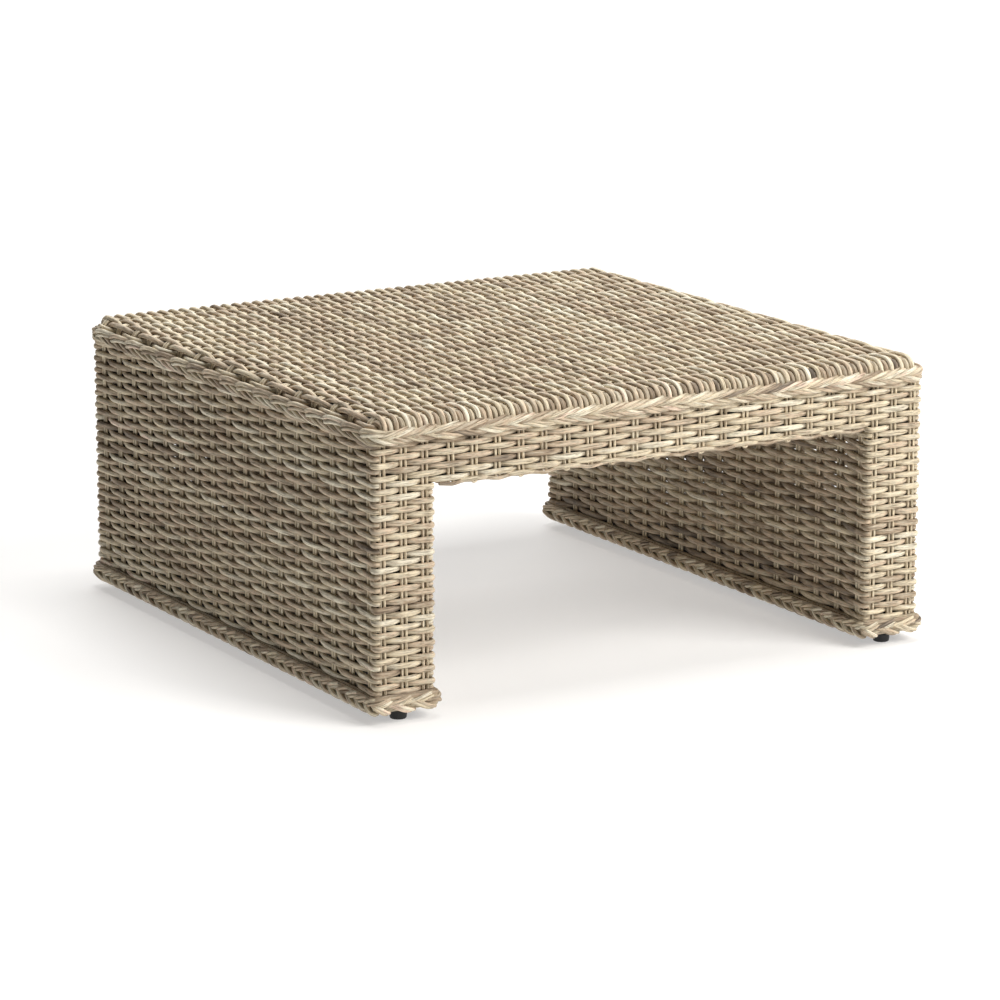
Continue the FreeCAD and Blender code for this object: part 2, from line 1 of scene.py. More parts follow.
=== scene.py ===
import math
import bpy
import numpy as np
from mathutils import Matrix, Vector


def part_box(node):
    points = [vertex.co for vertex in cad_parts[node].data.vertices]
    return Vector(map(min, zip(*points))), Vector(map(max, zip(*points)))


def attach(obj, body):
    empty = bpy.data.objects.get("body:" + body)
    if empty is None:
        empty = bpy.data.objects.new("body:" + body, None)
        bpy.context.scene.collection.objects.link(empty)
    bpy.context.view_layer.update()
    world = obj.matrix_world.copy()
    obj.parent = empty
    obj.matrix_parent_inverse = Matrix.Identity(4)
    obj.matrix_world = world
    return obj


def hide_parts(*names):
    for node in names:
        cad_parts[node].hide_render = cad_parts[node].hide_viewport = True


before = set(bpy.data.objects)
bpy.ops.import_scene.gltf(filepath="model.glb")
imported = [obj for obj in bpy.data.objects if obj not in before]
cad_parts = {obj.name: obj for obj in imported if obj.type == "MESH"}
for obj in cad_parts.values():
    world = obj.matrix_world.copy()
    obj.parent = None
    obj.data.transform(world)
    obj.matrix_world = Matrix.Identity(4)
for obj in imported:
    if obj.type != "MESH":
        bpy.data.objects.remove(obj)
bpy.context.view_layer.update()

MM = 0.001

# ---------------------------------------------------------------- sizes, in mm
HALF = 457.0                      # outer wall face
MID = HALF - 8.0                  # the mid surface of the walls
INNER = 369.8                     # the same of the leg's inner wall
LEG_MID = (MID + INNER) / 2
AMP = 4.4                         # how far a strand swings off that surface
TOP_AMP = 4.5
PROUD = 1.1                       # the stakes lie this far outside the mid surface
R_STRAND = 3.4                    # half the strand's thickness
WIDE = 1.31                       # its width over its thickness
R_STAKE = 2.25
PAIR = 3.4                        # half the gap between the stakes of a pair
TOP_Z = 424.1                     # mid surface of the top
ROW0, PITCH = 43.0, 9.19
N_LEG_ROWS, N_ROWS = 32, 39
SIDE_Y = [53.5 * (j - 8) for j in range(17)]
LEG_X = [LEG_MID + 33.4 * (k - 1) for k in range(3)]
APRON_X = [37.25 * (i - 9) for i in range(19)]
FRONT_X = [-x for x in reversed(LEG_X)] + APRON_X + LEG_X
PALETTE_TONES = [0.10, 0.20, 0.30, 0.38, 0.46, 0.54, 0.62, 0.70, 0.79, 0.88, 0.97]
PALETTE_ODDS = [0.03, 0.06, 0.10, 0.13, 0.15, 0.15, 0.13, 0.10, 0.07, 0.05, 0.03]


def pick_tone(rng):
    return float(rng.choice(PALETTE_TONES, p=PALETTE_ODDS)) + rng.uniform(-0.04, 0.04)


def run_tones(rng, deep, closed=False, chance=0.4):
    """A tone for each point of a strand. It changes where the strand is hidden, as where a new length starts."""
    out = np.empty(len(deep))
    first = now = pick_tone(rng)
    start = 0
    for i in range(1, len(deep) - 1):
        if deep[i] > 0.9 and deep[i] >= deep[i - 1] and deep[i] > deep[i + 1] and rng.random() < chance:
            out[start:i] = now
            now, start = 0.35 * now + 0.65 * pick_tone(rng), i
    out[start:] = first if closed else now
    return out


def smooth_noise(rng, length, scale, n, closed=False):
    """n values along a line of that length, in about -1 to 1, smooth over scale."""
    knots = max(3, int(round(length / scale)))
    vals = rng.uniform(-1, 1, knots + 3)
    if closed:
        vals[knots:knots + 3] = vals[:3]
    t = np.linspace(0, knots, n, endpoint=not closed)
    i = np.clip(t.astype(int), 0, knots)
    f = t - i
    f = (1 - np.cos(np.pi * f)) / 2
    return vals[i] * (1 - f) + vals[i + 1] * f


def catmull(points, step):
    """Points about step apart on a smooth line through the given ones, both ends included."""
    p = np.asarray(points, float)
    p = np.vstack([2 * p[0] - p[1], p, 2 * p[-1] - p[-2]])
    out = []
    for i in range(1, len(p) - 2):
        a, b, c, d = p[i - 1], p[i], p[i + 1], p[i + 2]
        n = max(1, int(math.ceil(np.linalg.norm(c - b) / step)))
        t = (np.arange(n) / n)[:, None]
        out.append(0.5 * ((2 * b) + (c - a) * t + (2 * a - 5 * b + 4 * c - d) * t ** 2
                          + (3 * b - a - 3 * c + d) * t ** 3))
    out.append(p[-2][None])
    return np.vstack(out)


class Bundle:
    """Collects swept strands into one mesh, with what the material needs to know about each."""

    def __init__(self, name):
        self.name = name
        self.v, self.q, self.caps, self.grain, self.tone, self.deep = [], [], [], [], [], []
        self.count = 0

    def strand(self, path, radius, ref, rng, closed=False, tone=None, sides=8, deep=None,
               ends="round", squash=1.0):
        p = np.asarray(path, float)
        n = n0 = len(p)
        r = np.broadcast_to(np.asarray(radius, float), (n,)).copy()
        wide = np.broadcast_to(np.asarray(squash, float), (n,)).copy()
        dp = np.zeros(n) if deep is None else np.asarray(deep, float)
        ref = np.broadcast_to(np.asarray(ref, float), (n, 3)).copy()
        if closed:
            t = np.roll(p, -1, 0) - np.roll(p, 1, 0)
        else:
            t = np.gradient(p, axis=0)
        t /= np.linalg.norm(t, axis=1)[:, None]
        if not closed and ends == "round":
            a, b = r[0], r[-1]
            p = np.vstack([p[0] - t[0] * a * 0.96, p[0] - t[0] * a * 0.70, p,
                           p[-1] + t[-1] * b * 0.70, p[-1] + t[-1] * b * 0.96])
            r = np.concatenate([[a * 0.26, a * 0.74], r, [b * 0.74, b * 0.26]])
            t = np.vstack([t[:1], t[:1], t, t[-1:], t[-1:]])
            ref = np.vstack([ref[:1], ref[:1], ref, ref[-1:], ref[-1:]])
            dp = np.concatenate([[dp[0]] * 2, dp, [dp[-1]] * 2])
            wide = np.concatenate([[wide[0]] * 2, wide, [wide[-1]] * 2])
            n += 4
        b = ref - (ref * t).sum(1)[:, None] * t
        b /= np.linalg.norm(b, axis=1)[:, None]
        m = np.cross(b, t)
        ang = np.linspace(0, 2 * np.pi, sides, endpoint=False) + rng.uniform(0, 1)
        ca, sa = np.cos(ang), np.sin(ang)
        ring = p[:, None, :] + r[:, None, None] * (ca[None, :, None] * m[:, None, :]
                                                   + (wide[:, None] * sa[None, :])[..., None] * b[:, None, :])
        seg = np.linalg.norm(np.diff(p, axis=0), axis=1)
        s = np.concatenate([[0], np.cumsum(seg)])
        off = rng.uniform(0, 50, 3)
        g = np.empty((n, sides, 3))
        g[..., 0] = ca[None, :] * (r / 4.0)[:, None] + off[0]
        g[..., 1] = sa[None, :] * (r / 4.0)[:, None] + off[1]
        g[..., 2] = s[:, None] * 0.01 + off[2]
        if tone is None:
            tone = pick_tone(rng)
        tone = np.broadcast_to(np.asarray(tone, float), (n0,))
        if n != n0:
            tone = np.concatenate([[tone[0]] * 2, tone, [tone[-1]] * 2])
        base = self.count
        idx = base + np.arange(n * sides).reshape(n, sides)
        nxt = np.roll(idx, -1, 1)
        if closed:
            lo, hi, ln, hn = idx, np.roll(idx, -1, 0), nxt, np.roll(nxt, -1, 0)
        else:
            lo, hi, ln, hn = idx[:-1], idx[1:], nxt[:-1], nxt[1:]
            self.caps.append(idx[0][::-1])
            self.caps.append(idx[-1])
        self.q.append(np.stack([lo, ln, hn, hi], -1).reshape(-1, 4))
        self.v.append(ring.reshape(-1, 3))
        self.grain.append(g.reshape(-1, 3))
        self.tone.append(np.repeat(tone, sides))
        self.deep.append(np.repeat(dp, sides))
        self.count += n * sides

    def build(self, material, body, slot, nodes):
        v = np.vstack(self.v) * MM
        q = np.vstack(self.q)
        me = bpy.data.meshes.new(self.name)
        me.vertices.add(len(v))
        me.vertices.foreach_set("co", v.astype(np.float32).ravel())
        cap_n = [len(c) for c in self.caps]
        loops = np.concatenate([q.ravel()] + [np.asarray(c).ravel() for c in self.caps]).astype(np.int32)
        sizes = np.concatenate([np.full(len(q), 4), np.array(cap_n, int)]).astype(np.int32)
        me.loops.add(len(loops))
        me.loops.foreach_set("vertex_index", loops)
        me.polygons.add(len(sizes))
        start = np.concatenate([[0], np.cumsum(sizes)[:-1]]).astype(np.int32)
        me.polygons.foreach_set("loop_start", start)
        me.polygons.foreach_set("use_smooth", np.ones(len(sizes), bool))
        me.update(calc_edges=True)
        a = me.attributes.new("grain", "FLOAT_VECTOR", "POINT")
        a.data.foreach_set("vector", np.vstack(self.grain).astype(np.float32).ravel())
        a = me.attributes.new("tone", "FLOAT", "POINT")
        a.data.foreach_set("value", np.concatenate(self.tone).astype(np.float32))
        a = me.attributes.new("deep", "FLOAT", "POINT")
        a.data.foreach_set("value", np.concatenate(self.deep).astype(np.float32))
        me.validate()
        o = bpy.data.objects.new(self.name, me)
        bpy.context.scene.collection.objects.link(o)
        me.materials.append(material)
        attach(o, body)
        if nodes:
            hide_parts(*nodes)
        return o


# ---------------------------------------------------------------- materials
def ramp(nt, stops, interpolation="LINEAR"):
    n = nt.nodes.new("ShaderNodeValToRGB")
    n.color_ramp.interpolation = interpolation
    el = n.color_ramp.elements
    while len(el) > 1:
        el.remove(el[-1])
    for i, (pos, col) in enumerate(stops):
        e = el[0] if i == 0 else el.new(pos)
        e.position = pos
        e.color = (col[0], col[1], col[2], 1) if not isinstance(col, float) else (col, col, col, 1)
    return n


def lin(rgb):
    """sRGB 0-255 to linear."""
    out = []
    for c in rgb:
        c = c / 255
        out.append(c / 12.92 if c <= 0.04045 else ((c + 0.055) / 1.055) ** 2.4)
    return tuple(out)


def math_node(nt, op, a, b=None, clamp=False):
    n = nt.nodes.new("ShaderNodeMath")
    n.operation = op
    n.use_clamp = clamp
    for i, x in enumerate((a, b)):
        if x is None:
            continue
        if isinstance(x, (int, float)):
            n.inputs[i].default_value = x
        else:
            nt.links.new(x, n.inputs[i])
    return n.outputs[0]


def mix_color(nt, kind, fac, a, b):
    n = nt.nodes.new("ShaderNodeMix")
    n.data_type = "RGBA"
    n.blend_type = kind
    for sock, x in ((n.inputs[0], fac), (n.inputs[6], a), (n.inputs[7], b)):
        if isinstance(x, (int, float)):
            sock.default_value = x
        elif isinstance(x, tuple):
            sock.default_value = (x[0], x[1], x[2], 1)
        else:
            nt.links.new(x, sock)
    return n.outputs[2]


def wicker_material(name, palette, dark, bump=0.25, value=1.0):
    """Strands of mixed tones, with fibres along each strand, soft patches, painted shade in the low places."""
    m = bpy.data.materials.new(name)
    m.use_nodes = True
    nt = m.node_tree
    nt.nodes.clear()
    out = nt.nodes.new("ShaderNodeOutputMaterial")
    bs = nt.nodes.new("ShaderNodeBsdfPrincipled")
    nt.links.new(bs.outputs[0], out.inputs[0])
    tone = nt.nodes.new("ShaderNodeAttribute"); tone.attribute_name = "tone"
    grain = nt.nodes.new("ShaderNodeAttribute"); grain.attribute_name = "grain"
    deep = nt.nodes.new("ShaderNodeAttribute"); deep.attribute_name = "deep"

    def mapped(scale):
        mp = nt.nodes.new("ShaderNodeMapping")
        mp.inputs["Scale"].default_value = scale
        nt.links.new(grain.outputs["Vector"], mp.inputs["Vector"])
        return mp.outputs[0]

    def noise(scale, detail, rough=0.5, dist=0.0):
        n = nt.nodes.new("ShaderNodeTexNoise")
        nt.links.new(mapped(scale), n.inputs["Vector"])
        n.inputs["Scale"].default_value = 1.0
        n.inputs["Detail"].default_value = detail
        n.inputs["Roughness"].default_value = rough
        n.inputs["Distortion"].default_value = dist
        return n.outputs[0]

    patch = noise((0.6, 0.6, 1.6), 2.0)          # changes along the strand over about 60 mm
    fleck = noise((1.2, 1.2, 7.0), 3.0, 0.6)     # over about 15 mm
    fibre = noise((2.3, 2.3, 4.2), 4.0, 0.65)    # thin lines along the strand
    fine = noise((6.0, 6.0, 16.0), 2.0, 0.6)
    # the strand's own tone, moved a little by the patches
    t = math_node(nt, "ADD", tone.outputs["Fac"],
                  math_node(nt, "MULTIPLY", math_node(nt, "SUBTRACT", patch, 0.5), 0.70), clamp=True)
    t = math_node(nt, "ADD", t, math_node(nt, "MULTIPLY", math_node(nt, "SUBTRACT", fleck, 0.5), 0.50), clamp=True)
    col = ramp(nt, palette)
    nt.links.new(t, col.inputs[0])
    streak = ramp(nt, [(0.36, (0.34, 0.31, 0.28)), (0.44, (0.72, 0.69, 0.66)), (0.50, (1.0, 1.0, 1.0)), (0.66, (1.20, 1.19, 1.16))])
    nt.links.new(fibre, streak.inputs[0])
    c = mix_color(nt, "MULTIPLY", 0.85, col.outputs[0], streak.outputs[0])
    spots = ramp(nt, [(0.33, (0.50, 0.44, 0.38)), (0.42, (1.0, 1.0, 1.0))])
    nt.links.new(fine, spots.inputs[0])
    c = mix_color(nt, "MULTIPLY", 0.6, c, spots.outputs[0])
    # painted shade: the colour is darkened where the strand dips behind the stakes, by the deep attribute, standing in
    # for the shade there
    painted_shade = math_node(nt, "MULTIPLY", deep.outputs["Fac"], dark, clamp=True)
    c = mix_color(nt, "MULTIPLY", painted_shade, c, (0.30, 0.26, 0.22))
    if value != 1.0:
        c = mix_color(nt, "MULTIPLY", 1.0, c, (value, value, value))
    nt.links.new(c, bs.inputs["Base Color"])
    rough = ramp(nt, [(0.25, 0.72), (0.75, 0.50)])
    nt.links.new(fibre, rough.inputs[0])
    nt.links.new(rough.outputs[0], bs.inputs["Roughness"])
    bs.inputs["Specular IOR Level"].default_value = 0.35
    h = math_node(nt, "ADD", math_node(nt, "MULTIPLY", fibre, 0.7), math_node(nt, "MULTIPLY", fine, 0.3))
    bp = nt.nodes.new("ShaderNodeBump")
    bp.inputs["Strength"].default_value = bump
    bp.inputs["Distance"].default_value = 0.0012
    nt.links.new(h, bp.inputs["Height"])
    nt.links.new(bp.outputs[0], bs.inputs["Normal"])
    return m


def solid_material(name, low, high, scale, rough, metallic=0.0, bump=0.1, bump_scale=900, spec=0.5, scratch=0.0):
    m = bpy.data.materials.new(name)
    m.use_nodes = True
    nt = m.node_tree
    nt.nodes.clear()
    out = nt.nodes.new("ShaderNodeOutputMaterial")
    bs = nt.nodes.new("ShaderNodeBsdfPrincipled")
    nt.links.new(bs.outputs[0], out.inputs[0])
    tc = nt.nodes.new("ShaderNodeTexCoord")
    n1 = nt.nodes.new("ShaderNodeTexNoise")
    n1.inputs["Scale"].default_value = scale
    n1.inputs["Detail"].default_value = 4
    nt.links.new(tc.outputs["Object"], n1.inputs["Vector"])
    col = ramp(nt, [(0.32, low), (0.68, high)])
    nt.links.new(n1.outputs[0], col.inputs[0])
    c = col.outputs[0]
    n2 = nt.nodes.new("ShaderNodeTexNoise")
    n2.inputs["Scale"].default_value = bump_scale
    n2.inputs["Detail"].default_value = 3
    nt.links.new(tc.outputs["Object"], n2.inputs["Vector"])
    if scratch:
        n3 = nt.nodes.new("ShaderNodeTexNoise")
        n3.inputs["Scale"].default_value = scale * 6
        n3.inputs["Detail"].default_value = 6
        n3.inputs["Roughness"].default_value = 0.7
        nt.links.new(tc.outputs["Object"], n3.inputs["Vector"])
        worn = ramp(nt, [(0.60, 0.0), (0.72, 1.0)])
        nt.links.new(n3.outputs[0], worn.inputs[0])
        c = mix_color(nt, "MIX", math_node(nt, "MULTIPLY", worn.outputs[0], scratch), c,
                      tuple(min(1.0, x * 2.2) for x in high))
    nt.links.new(c, bs.inputs["Base Color"])
    rr = ramp(nt, [(0.3, rough[0]), (0.7, rough[1])])
    nt.links.new(n1.outputs[0], rr.inputs[0])
    nt.links.new(rr.outputs[0], bs.inputs["Roughness"])
    bs.inputs["Metallic"].default_value = metallic
    bs.inputs["Specular IOR Level"].default_value = spec
    bp = nt.nodes.new("ShaderNodeBump")
    bp.inputs["Strength"].default_value = bump
    bp.inputs["Distance"].default_value = 0.0004
    nt.links.new(n2.outputs[0], bp.inputs["Height"])
    nt.links.new(bp.outputs[0], bs.inputs["Normal"])
    return m


PALETTE = [(0.00, lin((112, 101, 88))), (0.12, lin((142, 128, 111))), (0.24, lin((168, 148, 124))),
           (0.34, lin((186, 174, 153))), (0.44, lin((206, 184, 158))), (0.53, lin((200, 189, 166))),
           (0.64, lin((218, 203, 174))), (0.74, lin((216, 207, 187))), (0.87, lin((232, 225, 202))),
           (1.00, lin((222, 199, 178)))]
MAT_WEAVE = wicker_material("wicker_weave_strands", PALETTE, 0.55)
MAT_BRAID = wicker_material("wicker_plait_strands", PALETTE, 0.5)
MAT_STAKE = wicker_material("wicker_stake_rods", [(a, tuple(0.45 * x + 0.55 * y for x, y in zip(c, lin((222, 208, 180))))) for a, c in PALETTE], 0.0, bump=0.2)
MAT_FRAME = solid_material("dark_powder_coat", lin((34, 30, 27)), lin((46, 41, 37)), 40, (0.42, 0.55), bump=0.25, bump_scale=1400)
MAT_INSERT = solid_material("zinc_insert", lin((150, 148, 142)), lin((188, 186, 180)), 220, (0.28, 0.42), metallic=1.0, bump=0.1)
MAT_STUD = solid_material("zinc_stud", lin((140, 138, 132)), lin((190, 188, 182)), 260, (0.25, 0.40), metallic=1.0, bump=0.15, bump_scale=2200)
MAT_PAD = solid_material("black_glide_nylon", lin((18, 18, 19)), lin((30, 30, 31)), 160, (0.34, 0.48), bump=0.2, bump_scale=1600)

# ---------------------------------------------------------------- closed rows
STEP = 4.4


def edge_pts(origin, along, normal, stations, signs, amp, step=STEP):
    """From the first station to the last: the strand swings between the sides of the stakes."""
    out, deep = [], []
    for a, b, sa, sb in zip(stations[:-1], stations[1:], signs[:-1], signs[1:]):
        n = max(4, int(round(abs(b - a) / step)))
        t = np.arange(n) / n
        w = (1 - np.cos(np.pi * t)) / 2
        if sa == sb:
            d = np.full(n, amp * sa)
        else:                               # it stays outside for longer than inside
            d = amp * (1 - 2 * (w if sa > 0 else 1 - w) ** 2.2)
        s = a + (b - a) * t
        out.append(origin[None] + s[:, None] * along[None] + d[:, None] * normal[None])
        deep.append(-d / amp)
    out.append((origin + stations[-1] * along + signs[-1] * amp * normal)[None])
    deep.append(np.array([-signs[-1]], float))
    return np.vstack(out), np.concatenate(deep)


PAIR_U = MID - (LEG_MID + 33.4)   # the corner pair's distance from the corner, along the front
PAIR_W = MID - 428.0              # the first side pair's
CORNER_IN = [(PAIR_U, AMP), (2.6, 2.6), (-0.6, -0.9), (-3.9, 0.3), (-5.3, 4.6), (-5.6, 12.0), (-AMP, PAIR_W)]
CORNER_OUT = [(PAIR_U, -AMP), (0.9, -5.6), (-3.6, -4.3), (-5.4, -0.6), (-5.1, 5.0), (-2.6, 10.2), (1.8, 14.6), (AMP, PAIR_W)]


def corner_pts(c, eu, ew, first_over, back):
    """Round a corner, without its two end points. eu points along the edge whose pair is at the corner."""
    pts = CORNER_OUT if first_over else CORNER_IN
    xy = np.array([[c[0] + u * eu[0] + w * ew[0], c[1] + u * eu[1] + w * ew[1], 0] for u, w in pts])
    p = catmull(xy, 3.4)
    deep = np.interp(np.linspace(0, 1, len(p)), [0, 0.35, 1], [-1, -0.7, 1] if first_over else [1, -0.5, -1])
    if back:
        p, deep = p[::-1], deep[::-1]
    return p[1:-1], deep[1:-1]


def loop(x0, x1, front_x, odd, amp):
    """A closed row round the rectangle x0..x1, +-MID, on the stakes. Even rows pass behind the first front pair."""
    sign = lambda k: (1 if k % 2 else -1) * (-1 if odd else 1)
    nf, ns = len(front_x), len(SIDE_Y)
    f = [sign(k) for k in range(nf)]
    s_in = [-f[-1] * (1 if j % 2 == 0 else -1) for j in range(ns)]
    X, Y = np.array([1.0, 0, 0]), np.array([0, 1.0, 0])
    zero = np.zeros(3)
    parts, deeps = [], []

    def add(pair):
        parts.append(pair[0])
        deeps.append(pair[1])

    add(edge_pts(-MID * Y, X, -Y, front_x, f, amp))
    add(corner_pts((x1, -MID), -X, Y, f[-1] > 0, False))
    add(edge_pts(x1 * X, Y, X, SIDE_Y, s_in, amp))
    add(corner_pts((x1, MID), -X, -Y, f[-1] > 0, True))
    add(edge_pts(MID * Y, X, Y, front_x[::-1], f[::-1], amp))
    s_out = [-f[0] * (1 if j % 2 == 0 else -1) for j in range(ns)]
    add(corner_pts((x0, MID), X, -Y, f[0] > 0, False))
    add(edge_pts(x0 * X, Y, -X, SIDE_Y[::-1], s_out[::-1], amp))
    add(corner_pts((x0, -MID), X, Y, f[0] > 0, True))
    return np.vstack(parts), np.concatenate(deeps)


def place_row(bundle, p, deep, z, rng, closed=True, radius=R_STRAND):
    n = len(p)
    if closed:                              # the row is joined behind a rear pair, out of sight
        rear = np.where((p[:, 1] > 430) & (deep > 0.97))[0]
        k = rear[int(rng.integers(len(rear)))]
        p, deep = np.roll(p, -k, 0), np.roll(deep, -k)
    length = np.linalg.norm(np.diff(p, axis=0), axis=1).sum()
    p = p.copy()
    p[:, 2] = z + 0.6 * smooth_noise(rng, length, 70, n, closed) + 0.3 * smooth_noise(rng, length, 23, n, closed)
    # the hidden inner walls sit half a row off, as each wall is beaten down on its own
    inside = (np.abs(np.abs(p[:, 0]) - INNER) < 7.0) & (np.abs(p[:, 1]) < 428)
    p[:, 2] += np.where(inside, 3.6 * np.clip((428 - np.abs(p[:, 1])) / 50, 0, 1), 0.0)
    r = radius * (1 + 0.04 * smooth_noise(rng, length, 160, n, closed) + 0.03 * smooth_noise(rng, length, 30, n, closed)
                  + rng.uniform(-0.025, 0.025))
    dip = np.clip(deep, 0, 1)
    wide = WIDE + 0.07 * dip + 0.16 * inside + 0.04 * smooth_noise(rng, length, 45, n, closed)
    tone = run_tones(rng, deep, closed) - 0.14 * inside     # painted shade: the hidden inner walls get a darker tone here and more of the dip darkening below, standing in for their shade
    bundle.strand(p, r, (0, 0, 1), rng, closed=closed, deep=np.clip(dip + 0.25 * inside, 0, 1), tone=tone, squash=wide)


rng = np.random.default_rng(20261)
rows_z = [ROW0 + PITCH * i for i in range(N_ROWS)]

for side, sx in (("left", -1), ("right", 1)):
    xs = sorted([sx * MID, sx * INNER])
    fx = sorted(sx * x for x in LEG_X)
    # rows pass behind the table's outer corner pair on even rows, at both legs
    for part, (lo, hi) in enumerate(((0, 16), (16, 32))):
        b = Bundle(f"{side}_leg_rows_{part + 1}")
        for i in range(lo, hi):
            p, d = loop(xs[0], xs[1], fx, i % 2 == 1, AMP)
            place_row(b, p, d, rows_z[i], rng)
        b.build(MAT_WEAVE, "table", "wicker_weave", [f"{side}_leg_weave"])
    # the inner wall goes on behind the aprons
    b = Bundle(f"{side}_leg_inner_rows")
    for i in range(N_LEG_ROWS, 38):
        sg = [(1 if (j + i) % 2 == 0 else -1) for j in range(17)]
        p, d = edge_pts(np.array([sx * INNER, 0, 0.0]), np.array([0, 1.0, 0]), np.array([-sx * 1.0, 0, 0]), SIDE_Y, sg, AMP)
        lead = p[0] + np.array([0, -7.5, 0.0])
        tail = p[-1] + np.array([0, 7.5, 0.0])
        p = np.vstack([lead, p, tail])
        d = np.concatenate([[d[0]], d, [d[-1]]])
        place_row(b, p, d, min(rows_z[i], 379.0), rng, closed=False)
    b.build(MAT_WEAVE, "table", "wicker_weave", [f"{side}_leg_weave"])

b = Bundle("upper_band_rows")
for i in range(N_LEG_ROWS, N_ROWS):
    p, d = loop(-MID, MID, FRONT_X, i % 2 == 1, AMP)
    place_row(b, p, d, rows_z[i] if i < 38 else 391.0, rng)
b.build(MAT_WEAVE, "table", "wicker_weave", ["front_apron_weave", "rear_apron_weave", "left_leg_weave", "right_leg_weave"])

# the lowest strands of each apron, drawn down where the stakes turn under
for end, sy in (("front", -1), ("rear", 1)):
    b = Bundle(f"{end}_apron_edge")
    for level, (z, ph, rad) in enumerate(((331.9, 0, 2.8), (328.7, 1, 2.4))):
        sg = [(1 if (k + ph) % 2 else -1) for k in range(19)]
        p, d = edge_pts(np.array([0, sy * MID, 0.0]), np.array([1.0, 0, 0]), np.array([0, sy * 1.0, 0]), APRON_X, sg, 4.4)
        p = np.vstack([p[0] + np.array([-18, -sy * 1.0, 0]), p, p[-1] + np.array([18, -sy * 1.0, 0])])
        d = np.concatenate([[d[0]], d, [d[-1]]])
        n = len(p)
        wave = np.cos(2 * np.pi * p[:, 0] / 37.25)
        p[:, 2] = z + (0.5, -1.1)[level] * wave + 0.5 * smooth_noise(rng, 700, 50, n)
        # painted shade: deep darkens the strand where it dips behind the stakes
        b.strand(p, rad, (0, 0, 1), rng, deep=np.clip(d, 0, 1), squash=1.15)
    b.build(MAT_WEAVE, "table", "wicker_weave", [f"{end}_apron_weave"])

# ---------------------------------------------------------------- the top
ROLL_C = 439.0                    # centre of the edge roll, |x| or |y|
ROLL_Z = 414.0
ROLL_MID = TOP_Z - ROLL_Z
OVER_END = [(-428.0, TOP_Z + TOP_AMP), (-437, 428.5), (-445.5, 425.8), (-451.2, 420.2), (-453.6, 411.5), (-453.6, 400)]
UNDER_END = [(-428.0, TOP_Z - TOP_AMP), (-432.5, 421.0), (-438, 423.4), (-444, 424.2), (-450.2, 420.0), (-453.1, 412.8), (-453.6, 405), (-453.5, 397)]


def top_strand(m):
    """(x, angle from vertical) of strand m, by arc length over the roll at the left and right edges."""
    a = abs(m)
    if a <= 48:
        return 9.14 * m, 0.0
    ang = math.radians({49: 41.0, 50: 84.0}[a])
    return math.copysign(ROLL_C, m), math.copysign(ang, m)


order = list(range(-50, 51))
chunks = [order[i:i + 17] for i in range(0, len(order), 17)]
for c, chunk in enumerate(chunks):
    b = Bundle(f"top_strands_{c + 1}")
    for m in chunk:
        x0, ang = top_strand(m)
        s0 = 1 if m % 2 == 0 else -1
        sg = [s0 * (1 if j % 2 == 0 else -1) for j in range(17)]
        nx, nz = math.sin(ang), math.cos(ang)
        base_x = x0 + (ROLL_MID * nx if ang else 0.0)
        base_z = ROLL_Z + ROLL_MID * nz if ang else TOP_Z
        if abs(m) == 49:
            cut = 3.0
        elif abs(m) == 50:
            cut = 8.0
        else:
            cut = 0.0
        # between the first and last pairs
        p, d = edge_pts(np.array([0.0, 0, 0]), np.array([0, 1.0, 0]), np.array([0, 0, 1.0]), SIDE_Y, sg, 1.0)
        disp = p[:, 2] * TOP_AMP
        y = p[:, 1]
        n = len(p)
        wob = 0.45 * smooth_noise(rng, 856, 90, n) + 0.35 * smooth_noise(rng, 856, 35, n)
        disp = disp * (1 + 0.05 * smooth_noise(rng, 856, 53, n)) - 0.35 * np.abs(smooth_noise(rng, 856, 60, n))
        px = base_x + disp * nx + wob * nz
        pz = base_z + disp * nz - wob * nx * (1 if ang else 0)
        mid = np.stack([px, y, pz], 1)

        def end_path(first, over):
            pts = OVER_END if over else UNDER_END
            out = []
            for (yy, zz) in pts:
                h = zz - TOP_Z                     # height off the mid surface at the flat part
                k = np.clip((abs(yy) - 428) / 26, 0, 1)
                if ang:
                    lean = 1 - k                   # the roll fades into the front edge at the corner
                    xx = x0 + (ROLL_MID + max(-TOP_AMP, min(TOP_AMP, h))) * nx * (0.55 + 0.45 * lean)
                    zz2 = (ROLL_Z + (ROLL_MID + h) * nz) if zz > 414 else zz - 2
                    out.append((xx, (abs(yy) - cut * k), min(zz2, zz)))
                else:
                    out.append((x0, abs(yy), zz))
            q = np.array(out)
            if first:
                q[:, 1] *= -1
            return q

        a0 = catmull(end_path(True, s0 > 0), 3.2)[1:]
        a1 = catmull(end_path(False, s0 > 0), 3.2)[1:]
        path = np.vstack([a0[::-1], mid, a1])
        # smooth the joints where the end meets the run
        for k0 in (len(a0), len(a0) + len(mid)):
            for _ in range(2):
                lo, hi = k0 - 3, k0 + 3
                path[lo:hi] = (path[lo - 1:hi - 1] + 2 * path[lo:hi] + path[lo + 1:hi + 1]) / 4
        dd = np.concatenate([np.full(len(a0), -s0 * 0.5), -disp / TOP_AMP, np.full(len(a1), -s0 * 0.5)])
        rr = R_STRAND * (1 + 0.04 * smooth_noise(rng, 900, 160, len(path)) + rng.uniform(-0.03, 0.03))
        ref = (nz, 0, -nx) if ang else (1, 0, 0)
        wide = 1.19 + 0.07 * smooth_noise(rng, 900, 45, len(path)) + 0.06 * np.clip(dd, 0, 1)
        # painted shade: deep darkens the strand where it dips under the stakes, and the whole top a little
        b.strand(path, rr, ref, rng, deep=np.clip(1.15 * dd + 0.15, 0, 1), tone=run_tones(rng, dd, chance=0.75), squash=wide)
    b.build(MAT_WEAVE, "table", "wicker_weave", ["top_weave"])

